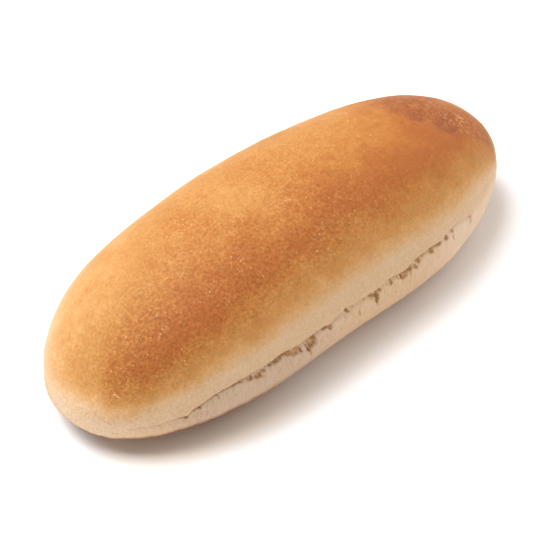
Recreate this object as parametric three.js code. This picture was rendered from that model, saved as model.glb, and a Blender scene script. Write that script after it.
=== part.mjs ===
// Hot dog bun, whole and uncut: a long soft roll with a flat sole, a domed top crust, and a ragged split
// low on each side where the crust pulled apart as the dough rose.
// Millimetres and degrees, +Z up. +X runs along the bun to its far end, and the longer split faces -Y.
// The origin is the middle of the sole's underside, at the centre of the bun's box.
import * as THREE from "three";

// Overall size. WAIST is the level of the widest line at mid length, and the underside would reach
// SOLE_CUT lower than the sole if the sole weren't flat.
const LENGTH = 150;
const WIDTH = LENGTH * 0.3935;
const HEIGHT = WIDTH * 0.75;
const WAIST = HEIGHT * 0.4;
const SOLE_CUT = 1;

// The widest line dips by this share of its height at the near (-X) and far (+X) tips.
const TIP_DROP = { near: 0.45, far: 0.15 };
const DROP_POWER = 3;

// The middle bends sideways by BOW towards +Y, and each half is wider or narrower by TAPER.
const BOW = -0.3;
const TAPER = -0.046;

// How full the plan, the crown and the belly stay towards the two tips: higher is blunter.
const PLAN_FULLNESS = { near: 3.47, far: 2.83 };
const CROWN_FULLNESS = { near: 2.45, far: 2.41 };
const BELLY_FULLNESS = { near: 5.7, far: 5.7 };

// Squareness of the section above and below the waist: 2 is an ellipse.
const CROWN_SQUARENESS = 2.05;
const BELLY_SQUARENESS = 2.9;

// Low swells along the loaf. Each sits at one angle round the section, and its waves are the sizes of
// 2, 3, 4 and 5 half waves along the length.
const SWELLS = [
  { turn: 42, waves: [0, -0.19, -0.07, 0.35] },
  { turn: 216, waves: [-0.19, 0.26, -0.16, -0.35] },
];

// Two shallow dents in the crust near the far end, where it baked darkest.
const DENTS = [
  { x: 49.3, turn: 94, reach: 3.5, depth: 0.45 },
  { x: 53.5, turn: 109, reach: 4.5, depth: 0.6 },
];

// The splits. level is the lip's height round the section, in degrees above the waist, with its waves as
// for the swells; droop lowers it towards the near end. from and to are shares of the half length. The
// pits are deeper torn places: where along X, how far they reach and how much deeper they are.
const SPLITS = {
  front: {
    level: 5.24,
    waves: [-0.65, 1.05, 0.25],
    droop: 6.6,
    from: -0.84,
    to: 0.76,
    depth: 0.95,
    width: 2.4,
    pits: [
      { x: -52, reach: 1.6, depth: 0.3 },
      { x: -26, reach: 5, depth: 0.3 },
      { x: -14.5, reach: 2, depth: 1.1 },
      { x: -8.5, reach: 2.2, depth: 0.5 },
      { x: 10.5, reach: 1.8, depth: 1 },
      { x: 24.5, reach: 5.5, depth: 0.4 },
      { x: 38, reach: 2.2, depth: 0.4 },
    ],
  },
  back: {
    level: 3.6,
    waves: [0.9, -0.5, 0.6, 0.4],
    droop: 2,
    from: -0.66,
    to: 0.7,
    depth: 0.8,
    width: 2.1,
    pits: [
      { x: -33, reach: 3.5, depth: 0.4 },
      { x: -6, reach: 2, depth: 0.8 },
      { x: 19, reach: 4.5, depth: 0.4 },
      { x: 37, reach: 2, depth: 0.5 },
    ],
  },
};
const SPLIT_FADE = 0.16; // share of the half length over which a split grows in from either end
const DROOP_START = -0.54;
const DROOP_RUN = 0.2;
const WAVE_SPAN = 0.8; // the waves along the splits start and end at this share of the half length
const SPLIT_SCALLOP = { share: 0.3, count: 23 }; // the split's depth rises and falls along its length
const LIP_RISE = 0.25; // the crust's edge above a split stands a little proud
const LIP_REACH = 3;
const UNDERCUT = 0.35; // how far the split reaches up behind the lip

// Mesh: stations along the loaf, and rows from the sole's middle to a split and from there to the ridge.
const STATIONS = 92;
const BELLY_ROWS = 11;
const CROWN_ROWS = 15;
const SIDE_ROWS = BELLY_ROWS + CROWN_ROWS;
const ROW_CROWDING = 0.12; // lower packs the rows closer to the split

const CRUST = { color: 0xc98a4c, roughness: 0.62, metalness: 0 };

const radians = THREE.MathUtils.degToRad;
const smooth = THREE.MathUtils.smoothstep;
const bell = (distance, reach) => Math.exp(-((distance / reach) ** 2));

// The sum of 2, 3, 4, ... half waves of the given sizes at share s, over a run of plus or minus span.
function waveSum(waves, s, span) {
  const turn = (Math.PI * (s + span)) / (2 * span);
  return waves.reduce((sum, size, i) => sum + size * Math.sin((i + 2) * turn), 0);
}

// How much of the full size is left at share s of the half length: 1 at the middle, 0 at the tips.
function fullness({ near, far }, s) {
  return Math.sqrt(Math.max(0, 1 - Math.abs(s) ** (s < 0 ? near : far)));
}

// The height of the widest line at share s of the half length.
function waistLine(s) {
  const drop = s < 0 ? TIP_DROP.near : TIP_DROP.far;
  return WAIST * (1 - drop * Math.abs(s) ** DROP_POWER);
}

// The smooth loaf's radius about the waist line at share s of the half length, turn degrees round the
// section: 0 is level towards +Y, 90 straight up, 180 level towards -Y.
function loafRadius(s, turn) {
  const angle = radians(turn);
  const up = Math.sin(angle) >= 0;
  const plan = fullness(PLAN_FULLNESS, s);
  const half = (WIDTH / 2) * plan * (1 + TAPER * s);
  const crown = (HEIGHT - WAIST) * fullness(CROWN_FULLNESS, s);
  const belly = (waistLine(s) + SOLE_CUT) * fullness(BELLY_FULLNESS, s);
  const power = up ? CROWN_SQUARENESS : BELLY_SQUARENESS;
  const across = Math.abs(Math.cos(angle) / half) ** power;
  const upright = Math.abs(Math.sin(angle) / (up ? crown : belly)) ** power;
  let radius = (across + upright) ** (-1 / power);
  for (const swell of SWELLS) {
    const facing = Math.max(0, Math.cos(angle - radians(swell.turn)));
    radius += plan * waveSum(swell.waves, s, 1) * facing ** 2;
  }
  for (const dent of DENTS) {
    const aside = radius * radians(turn - dent.turn);
    radius -= dent.depth * bell(Math.hypot((s * LENGTH) / 2 - dent.x, aside), dent.reach);
  }
  return radius;
}

// The elevation in degrees of a split's lip at share s of the half length.
function splitLevel(split, s) {
  const droop = split.droop * smooth(DROOP_START - s, 0, DROOP_RUN);
  return split.level + waveSum(split.waves, s, WAVE_SPAN) - droop;
}

// How deep the split is at share s of the half length.
function splitDepth(split, s) {
  const fade = smooth(s, split.from, split.from + SPLIT_FADE) * smooth(-s, -split.to, SPLIT_FADE - split.to);
  const scallop = 1 + SPLIT_SCALLOP.share * Math.sin(SPLIT_SCALLOP.count * s);
  const x = (s * LENGTH) / 2;
  const torn = split.pits.reduce((sum, pit) => sum + pit.depth * bell(x - pit.x, pit.reach), 0);
  return fade * (split.depth * scallop + torn);
}

// A point of the crust on one side, elevation degrees above the waist, with the split pressed into it.
// The split drops steeply under its lip and climbs back to the surface over its width.
function crustPoint(side, elevation, s) {
  const split = side > 0 ? SPLITS.back : SPLITS.front;
  const level = splitLevel(split, s);
  const depth = splitDepth(split, s);
  const smoothRadius = loafRadius(s, side > 0 ? elevation : 180 - elevation);
  const above = radians(elevation - level) * smoothRadius;
  const below = Math.max(0, -above) / split.width;
  const floor = below > 0 && below < 1 ? (1 - below) ** 1.4 : 0;
  const lip = above >= 0 ? LIP_RISE * Math.min(1, depth) * Math.exp(-above / LIP_REACH) : 0;
  const radius = smoothRadius - depth * floor + lip;
  const lifted = radians(elevation) + (UNDERCUT * Math.min(1, depth) * floor) / Math.max(radius, 1);
  const y = side * radius * Math.cos(lifted) + BOW * (1 - s * s);
  const z = waistLine(s) + radius * Math.sin(lifted);
  return new THREE.Vector3((s * LENGTH) / 2, y, Math.max(0, z));
}

// The elevation of a row, counted from the sole's middle (0) to the ridge (SIDE_ROWS). Rows crowd
// towards the split's lip, which is row BELLY_ROWS.
function rowElevation(row, level) {
  const steps = row - BELLY_ROWS;
  const share = Math.abs(steps) / (steps < 0 ? BELLY_ROWS : CROWN_ROWS);
  const spread = ROW_CROWDING * share + (1 - ROW_CROWDING) * share * share;
  return level + (Math.sign(steps) * 90 - level) * spread;
}

// One closed ring of points: up the back from the sole's middle, over the ridge and down the front.
function ringAt(s) {
  const points = [];
  for (let row = 0; row < SIDE_ROWS; row += 1) {
    points.push(crustPoint(1, rowElevation(row, splitLevel(SPLITS.back, s)), s));
  }
  for (let row = SIDE_ROWS; row > 0; row -= 1) {
    points.push(crustPoint(-1, rowElevation(row, splitLevel(SPLITS.front, s)), s));
  }
  return points;
}

// The closed skin: rings at the stations between the tips, joined by quads, with a fan at each tip.
function makeLoaf() {
  const tip = (end) => new THREE.Vector3((end * LENGTH) / 2, 0, waistLine(end));
  const points = [tip(-1)];
  for (let station = 1; station < STATIONS; station += 1) {
    points.push(...ringAt(Math.sin(Math.PI * (station / STATIONS - 0.5))));
  }
  points.push(tip(1));

  const around = 2 * SIDE_ROWS;
  const last = points.length - 1;
  const faces = [];
  for (let i = 0; i < around; i += 1) {
    const next = (i + 1) % around;
    faces.push(0, 1 + next, 1 + i);
    for (let ring = 0; ring < STATIONS - 2; ring += 1) {
      const here = 1 + ring * around;
      const there = here + around;
      faces.push(here + i, here + next, there + i);
      faces.push(here + next, there + next, there + i);
    }
    faces.push(last - around + i, last - around + next, last);
  }

  const geometry = new THREE.BufferGeometry().setFromPoints(points);
  geometry.setIndex(faces);
  geometry.computeBoundingBox();
  const middle = geometry.boundingBox.getCenter(new THREE.Vector3());
  geometry.translate(-middle.x, -middle.y, -geometry.boundingBox.min.z);
  geometry.computeVertexNormals();
  return geometry;
}

const bun = new THREE.Mesh(makeLoaf(), new THREE.MeshStandardMaterial(CRUST));
bun.name = "bun";

const part = new THREE.Group();
part.add(bun);

export default part;
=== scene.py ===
"""Hot dog bun: one whole soft roll with a browned crown, pale sides, a torn split low on each side and a
baked sole. The skin is a fine mesh over the same loaf as the solid, in millimetres until it is written.
"""

import logging
import math
from dataclasses import dataclass, field
from enum import Enum
from typing import Any

import bpy
import numpy as np
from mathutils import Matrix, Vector


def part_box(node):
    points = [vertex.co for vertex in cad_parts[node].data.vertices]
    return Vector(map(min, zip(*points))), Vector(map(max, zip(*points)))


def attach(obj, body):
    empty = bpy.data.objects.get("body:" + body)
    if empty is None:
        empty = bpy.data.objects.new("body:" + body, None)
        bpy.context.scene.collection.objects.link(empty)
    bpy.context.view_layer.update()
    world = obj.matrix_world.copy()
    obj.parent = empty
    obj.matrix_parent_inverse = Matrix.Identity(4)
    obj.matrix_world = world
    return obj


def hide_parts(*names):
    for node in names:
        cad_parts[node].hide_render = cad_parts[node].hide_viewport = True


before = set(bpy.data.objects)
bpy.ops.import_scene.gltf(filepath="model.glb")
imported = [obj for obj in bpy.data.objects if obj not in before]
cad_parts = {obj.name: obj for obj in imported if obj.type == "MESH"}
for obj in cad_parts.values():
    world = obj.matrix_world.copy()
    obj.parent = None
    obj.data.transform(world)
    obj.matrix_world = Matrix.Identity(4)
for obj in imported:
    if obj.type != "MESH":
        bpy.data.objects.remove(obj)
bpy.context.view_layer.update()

LOG = logging.getLogger("bun")
MM = 0.001
Array = np.ndarray


# ---------------------------------------------------------------- shader expressions


class Value:
    """The output of a node, used as a number in Python expressions."""

    def __init__(self, bench: "Bench", socket: bpy.types.NodeSocket) -> None:
        """Holds a socket and the bench that adds nodes for it."""
        self.bench = bench
        self.socket = socket

    def _math(self, operation: str, *terms: Any) -> "Value":
        """Adds a Math node.

        Args:
            operation: the node's operation.
            terms: the numbers or values for its sockets, in order.

        Returns:
            The result as a value.
        """
        sockets = dict(enumerate(terms))
        return self.bench.add("ShaderNodeMath", {"operation": operation}, sockets)

    def __add__(self, other: Any) -> "Value":
        """This plus other."""
        return self._math("ADD", self, other)

    def __radd__(self, other: Any) -> "Value":
        """Other plus this."""
        return self._math("ADD", other, self)

    def __sub__(self, other: Any) -> "Value":
        """This minus other."""
        return self._math("SUBTRACT", self, other)

    def __rsub__(self, other: Any) -> "Value":
        """Other minus this."""
        return self._math("SUBTRACT", other, self)

    def __mul__(self, other: Any) -> "Value":
        """This times other."""
        return self._math("MULTIPLY", self, other)

    def __rmul__(self, other: Any) -> "Value":
        """Other times this."""
        return self._math("MULTIPLY", other, self)

    def __truediv__(self, other: Any) -> "Value":
        """This divided by other."""
        return self._math("DIVIDE", self, other)

    def __pow__(self, other: Any) -> "Value":
        """This to the power of other."""
        return self._math("POWER", self, other)

    def __abs__(self) -> "Value":
        """The size of this without its sign."""
        return self._math("ABSOLUTE", self)

    def most(self, other: Any) -> "Value":
        """The larger of this and other."""
        return self._math("MAXIMUM", self, other)

    def least(self, other: Any) -> "Value":
        """The smaller of this and other."""
        return self._math("MINIMUM", self, other)

    def eased(self, low: float, high: float) -> "Value":
        """Rises smoothly from 0 at low to 1 at high, or falls where high is the smaller.

        Args:
            low: where the result is 0.
            high: where the result is 1.

        Returns:
            The eased value, from 0 to 1.
        """
        settings = {"interpolation_type": "SMOOTHSTEP"}
        if low > high:
            sockets = {"Value": self, "From Min": high, "From Max": low, "To Min": 1.0, "To Max": 0.0}
        else:
            sockets = {"Value": self, "From Min": low, "From Max": high, "To Min": 0.0, "To Max": 1.0}
        return self.bench.add("ShaderNodeMapRange", settings, sockets)


class Bench:
    """Builds one material's nodes."""

    def __init__(self, name: str) -> None:
        """Starts a material with an empty node tree.

        Args:
            name: the material's name.
        """
        self.material = bpy.data.materials.new(name)
        self.material.use_nodes = True
        self.tree = self.material.node_tree
        self.tree.nodes.clear()

    def add(self, kind: str, settings: dict[str, Any], sockets: dict[Any, Any], out: Any = None) -> Value:
        """Adds a node.

        Args:
            kind: the node's type.
            settings: its settings, set before its sockets; "stops" fills a colour ramp.
            sockets: numbers, colours or values for its inputs, by name or by number.
            out: the output to give back, by name or by number; the first enabled one if None.

        Returns:
            The output as a value.
        """
        node = self.tree.nodes.new(kind)
        for name, setting in settings.items():
            if name == "stops":
                self._fill_ramp(node.color_ramp, setting)
            else:
                setattr(node, name, setting)
        for name, value in sockets.items():
            socket = self._input(node, name)
            if isinstance(value, Value):
                self.tree.links.new(value.socket, socket)
            elif socket.type == "RGBA" and len(value) == 3:
                socket.default_value = (*value, 1.0)
            else:
                socket.default_value = value
        if out is None:
            return Value(self, next(s for s in node.outputs if s.enabled))
        return Value(self, node.outputs[out])

    @staticmethod
    def _input(node: bpy.types.Node, name: Any) -> bpy.types.NodeSocket:
        """Finds an input of a node.

        Args:
            node: the node.
            name: the input's name or number.

        Returns:
            The input. Of several with one name, it is the enabled one.
        """
        if isinstance(name, int):
            return node.inputs[name]
        return next(s for s in node.inputs if s.name == name and s.enabled)

    @staticmethod
    def _fill_ramp(ramp: bpy.types.ColorRamp, stops: list[tuple[float, tuple[float, ...]]]) -> None:
        """Sets a colour ramp's stops.

        Args:
            ramp: the ramp.
            stops: its stops, each a place from 0 to 1 and a linear colour.
        """
        while len(ramp.elements) < len(stops):
            ramp.elements.new(1.0)
        for element, (place, colour) in zip(ramp.elements, stops):
            element.position = place
            element.color = (*colour, 1.0)

    def attribute(self, name: str) -> Value:
        """A number stored at the mesh's points."""
        return self.add("ShaderNodeAttribute", {"attribute_name": name}, {}, "Fac")

    def noise(
        self, size: float, detail: float = 2.0, stretch: tuple[float, float, float] | None = None
    ) -> Value:
        """Soft noise over the object.

        Args:
            size: the width of one lump in millimetres.
            detail: how many finer layers it has.
            stretch: how many times finer it is along each axis.

        Returns:
            The noise, about 0.5 on average.
        """
        place = self.add("ShaderNodeTexCoord", {}, {}, "Object")
        if stretch is not None:
            place = self.add("ShaderNodeMapping", {}, {"Vector": place, "Scale": stretch})
        sockets = {"Vector": place, "Scale": 1 / (size * MM), "Detail": detail, "Roughness": 0.55}
        return self.add("ShaderNodeTexNoise", {}, sockets, "Fac")

    def near(self, path: Array, width: float) -> Value:
        """A soft ragged line along some points.

        Args:
            path: the points in millimetres, in order.
            width: the line's width in millimetres.

        Returns:
            1 on the line, falling to 0 beside it.
        """
        place = self.add("ShaderNodeTexCoord", {}, {}, "Object")
        away: Any = width
        for start, end in zip(path[:-1] * MM, path[1:] * MM):
            run = end - start
            offset = self.add("ShaderNodeVectorMath", {"operation": "SUBTRACT"}, {0: place, 1: tuple(start)})
            sockets = {0: offset, 1: tuple(run / (run @ run))}
            part = self.add("ShaderNodeVectorMath", {"operation": "DOT_PRODUCT"}, sockets)
            part = part.most(0.0).least(1.0)
            close = self.add("ShaderNodeVectorMath", {"operation": "SCALE"}, {0: tuple(run), "Scale": part})
            gap = self.add("ShaderNodeVectorMath", {"operation": "DISTANCE"}, {0: offset, 1: close})
            away = gap.least(away)
        return (away / (0.5 * width * MM) + self.noise(0.8, 1.0) - 0.5).eased(1.2, 0.3)

    def mix(self, share: Any, low: Any, high: Any, blend: str = "MIX") -> Value:
        """A colour between two others.

        Args:
            share: 0 for low, 1 for high.
            low: a linear colour or a value.
            high: a linear colour or a value.
            blend: the way in which high goes over low.

        Returns:
            The colour as a value.
        """
        settings = {"data_type": "RGBA", "blend_type": blend}
        return self.add("ShaderNodeMix", settings, {"Factor": share, "A": low, "B": high}, 2)

    def bump(self, height: Value, depth: float, under: Value | None = None) -> Value:
        """A normal bent by a height.

        Args:
            height: the height, from 0 to 1.
            depth: how many millimetres stand between 0 and 1.
            under: a normal that this one goes over.

        Returns:
            The normal as a value.
        """
        sockets: dict[Any, Any] = {"Strength": 1.0, "Distance": depth * MM, "Height": height}
        if under is not None:
            sockets["Normal"] = under
        return self.add("ShaderNodeBump", {}, sockets)

    def finish(self, surface: Value) -> bpy.types.Material:
        """Joins a shader to the material's output.

        Args:
            surface: the shader.

        Returns:
            The finished material.
        """
        output = self.tree.nodes.new("ShaderNodeOutputMaterial")
        self.tree.links.new(surface.socket, output.inputs["Surface"])
        return self.material


# ---------------------------------------------------------------- shape


def bell(distance: Array, reach: Any) -> Array:
    """1 at no distance, falling smoothly to nothing past the reach."""
    return np.exp(-((distance / reach) ** 2))


def ease(value: Array, low: float, high: float) -> Array:
    """Rises smoothly from 0 at low to 1 at high, or falls where high is the smaller."""
    t = np.clip((value - low) / (high - low), 0.0, 1.0)
    return t * t * (3.0 - 2.0 * t)


class Grain:
    """Seeded smooth noise over points in millimetres."""

    CELLS = 8192
    PRIMES = np.array([73856093, 19349663, 83492791], dtype=np.int64)

    def __init__(self, seed: int) -> None:
        """Draws the noise's values."""
        self.table = np.random.default_rng(seed).uniform(-1.0, 1.0, self.CELLS)

    def at(self, points: Array, size: Any, shift: float = 0.0) -> Array:
        """The noise at some points.

        Args:
            points: one row of x, y and z for each point.
            size: the width of a lump, as one number or one for each axis.
            shift: how far the noise is moved, which gives another pattern.

        Returns:
            A number from -1 to 1 for each point.
        """
        grid = (points + shift) / np.asarray(size, dtype=float)
        cell = np.floor(grid).astype(np.int64)
        part = grid - cell
        part = part * part * (3.0 - 2.0 * part)
        total = np.zeros(len(points))
        for corner in range(8):
            step = np.array([corner & 1, (corner >> 1) & 1, (corner >> 2) & 1])
            weight = np.prod(np.where(step == 1, part, 1.0 - part), axis=1)
            key = ((cell + step) * self.PRIMES).sum(axis=1) % self.CELLS
            total += weight * self.table[key]
        return total


class Side(Enum):
    """The two long sides: the front carries the longer split."""

    BACK = 1
    FRONT = -1


@dataclass(frozen=True)
class Ends:
    """A value for the near (-X) half and one for the far (+X) half."""

    near: float
    far: float

    def at(self, share: Array) -> Array:
        """The value that holds at a share of the half length."""
        return np.where(share < 0, self.near, self.far)

    def fullness(self, share: Array) -> Array:
        """How much of the full size is left at a share of the half length."""
        return np.sqrt(np.clip(1.0 - np.abs(share) ** self.at(share), 0.0, 1.0))


@dataclass(frozen=True)
class Swell:
    """A low wave in the skin, at one angle round the section, in 2, 3, 4 and 5 half waves."""

    turn: float
    waves: tuple[float, ...]


@dataclass(frozen=True)
class Dent:
    """A shallow hollow in the crust."""

    x: float
    turn: float
    reach: float
    depth: float


@dataclass(frozen=True)
class Torn:
    """A torn place in a split.

    It runs from top to low, in millimetres below the lip's smooth line. At its top it is centred on x, and
    it leans along X by lean for each millimetre down. Shade is how dark its crumb is, from 0 to 1.
    """

    x: float
    half: float
    top: float
    low: float
    lean: float
    depth: float
    shade: float


@dataclass(frozen=True)
class Crease:
    """A hair-fine fold in the skin through some places, each a share of the half length and an angle.

    A shade above 0 is a darker fold, painted shade in it, and one below 0 a raised pale fleck, a painted
    highlight along it.
    """

    places: tuple[tuple[float, float], ...]
    width: float
    shade: float


@dataclass(frozen=True)
class BlisterField:
    """A cluster of small blisters round a place on the crust."""

    x: float
    turn: float
    long: float
    around: float
    count: int
    radius: tuple[float, float]
    height: float


@dataclass(frozen=True)
class Split:
    """A ragged split low on one side.

    Its lip's smooth line lies at the level, in degrees above the waist, bent by the waves and by a droop at
    the near end. The split runs from start to end, in shares of the half length, and opens over the fade.
    Depth is how far its groove is pressed in and drop how far the groove runs down from the lip, both in
    millimetres. Shred is how much torn skin clings under the lip, from 0 to 1. The edge gives places along
    X and how far the lip really stands above its smooth line there.
    """

    side: Side
    level: float
    waves: tuple[float, ...]
    droop: float
    start: float
    end: float
    depth: float
    drop: float
    shred: float
    torn: tuple[Torn, ...]
    edge: tuple[tuple[float, float], ...]
    fade: float = 0.16
    wave_span: float = 0.8
    droop_start: float = -0.54
    droop_run: float = 0.2

    def lip(self, share: Array) -> Array:
        """The smooth level of the lip, in degrees, at a share of the half length."""
        droop = self.droop * ease(self.droop_start - share, 0.0, self.droop_run)
        return self.level + wave_sum(self.waves, share, self.wave_span) - droop

    def rise(self, x: Array) -> Array:
        """How far the lip stands above its smooth line at places along X."""
        places, rises = np.array(self.edge).T
        return np.interp(x, places, rises)

    def strength(self, share: Array) -> Array:
        """How open the split is along the bun, from 0 to 1."""
        return ease(share, self.start, self.start + self.fade) * ease(share, self.end, self.end - self.fade)


def wave_sum(waves: tuple[float, ...], share: Array, span: float) -> Array:
    """The sum of 2, 3, 4, ... half waves of the given sizes over a run of plus or minus span."""
    turn = math.pi * (share + span) / (2.0 * span)
    return sum(size * np.sin((i + 2) * turn) for i, size in enumerate(waves))


@dataclass
class Loaf:
    """The smooth form of the bun, in millimetres about the middle of its sole.

    The width is a share of the length, the height of the width and the widest line's height of the height.
    Plan, crown and belly are the powers of the curves in which the width, the part above the widest line
    and the part below it close at the ends.
    """

    length: float
    width_share: float = 0.3935
    waist_share: float = 0.4
    crown_share: float = 0.75
    sole_cut: float = 1.0
    tip_drop: Ends = Ends(0.45, 0.15)
    drop_power: float = 3.0
    bow: float = -0.3
    taper: float = -0.046
    plan: Ends = Ends(3.47, 2.83)
    crown: Ends = Ends(2.45, 2.41)
    belly: Ends = Ends(5.7, 5.7)
    crown_squareness: float = 2.05
    belly_squareness: float = 2.9
    swells: tuple[Swell, ...] = (
        Swell(42.0, (0.0, -0.19, -0.07, 0.35)),
        Swell(216.0, (-0.19, 0.26, -0.16, -0.35)),
    )
    dents: tuple[Dent, ...] = (
        Dent(49.3, 94.0, 3.5, 0.45),
        Dent(53.5, 109.0, 4.5, 0.6),
    )

    def __post_init__(self) -> None:
        """Works out the sizes that follow from the length."""
        self.width = self.length * self.width_share
        self.top = self.width * self.crown_share
        self.waist = self.top * self.waist_share

    def waist_line(self, share: Array) -> Array:
        """The height of the widest line, which dips towards the tips."""
        return self.waist * (1.0 - self.tip_drop.at(share) * np.abs(share) ** self.drop_power)

    def radius(self, share: Array, turn: Array) -> Array:
        """The radius about the waist line.

        Args:
            share: place along the bun, from -1 to 1.
            turn: degrees round the section: 0 is level towards +Y, 90 is up and 180 level towards -Y.

        Returns:
            The radius in millimetres.
        """
        angle = np.radians(turn)
        up = np.sin(angle) >= 0
        plan = self.plan.fullness(share)
        half = 0.5 * self.width * plan * (1.0 + self.taper * share)
        crown = (self.top - self.waist) * self.crown.fullness(share)
        belly = (self.waist_line(share) + self.sole_cut) * self.belly.fullness(share)
        power = np.where(up, self.crown_squareness, self.belly_squareness)
        across = np.abs(np.cos(angle) / half) ** power
        upright = np.abs(np.sin(angle) / np.where(up, crown, belly)) ** power
        radius = (across + upright) ** (-1.0 / power)
        for swell in self.swells:
            facing = np.clip(np.cos(angle - math.radians(swell.turn)), 0.0, None)
            radius = radius + plan * wave_sum(swell.waves, share, 1.0) * facing**2
        for dent in self.dents:
            aside = radius * np.radians(turn - dent.turn)
            away = np.hypot(0.5 * share * self.length - dent.x, aside)
            radius = radius - dent.depth * bell(away, dent.reach)
        return radius

    def place(self, share: Array, turn: Array, radius: Array, lift: Any = 0.0) -> Array:
        """Points at a radius about the waist line.

        Args:
            share: place along the bun, from -1 to 1.
            turn: degrees round the section.
            radius: distance from the waist line in millimetres.
            lift: how far each point is also pushed up round the section, in millimetres.

        Returns:
            One row of x, y and z for each point.
        """
        side = np.where(np.cos(np.radians(turn)) >= 0, 1.0, -1.0)
        angle = np.radians(turn) + side * lift / np.maximum(radius, 1.0)
        y = radius * np.cos(angle) + self.bow * (1.0 - share**2)
        z = self.waist_line(share) + radius * np.sin(angle)
        return np.stack([0.5 * share * self.length, y, z], axis=1)

    def spot(self, x: Array, turn: Array) -> Array:
        """Points of the smooth loaf.

        Args:
            x: places along X in millimetres.
            turn: degrees round the section.

        Returns:
            One row of x, y and z for each point.
        """
        share = np.atleast_1d(x) * 2.0 / self.length
        turn = np.atleast_1d(turn).astype(float)
        return self.place(share, turn, self.radius(share, turn))

    def normals(self, share: Array, turn: Array) -> Array:
        """Outward normals of the smooth loaf.

        Args:
            share: place along the bun, from -1 to 1.
            turn: degrees round the section.

        Returns:
            One row of x, y and z for each place.
        """
        step_share, step_turn, limit = 1e-3, 0.2, 0.9999
        low, high = (np.clip(share + step, -limit, limit) for step in (-step_share, step_share))
        left, right = turn - step_turn, turn + step_turn
        along = self.place(high, turn, self.radius(high, turn))
        along = along - self.place(low, turn, self.radius(low, turn))
        around = self.place(share, right, self.radius(share, right))
        around = around - self.place(share, left, self.radius(share, left))
        normal = np.cross(around, along)
        return normal / np.maximum(np.linalg.norm(normal, axis=1, keepdims=True), 1e-9)


# ---------------------------------------------------------------- the bake


@dataclass(frozen=True)
class Patch:
    """A soft patch of the crust, seen from above, and how much browner or, below 0, paler it is."""

    x: float
    y: float
    long: float
    wide: float
    change: float

    def at(self, points: Array) -> Array:
        """The change at some points."""
        away = np.hypot((points[:, 0] - self.x) / self.long, (points[:, 1] - self.y) / self.wide)
        return self.change * bell(away, 1.0)


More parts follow.
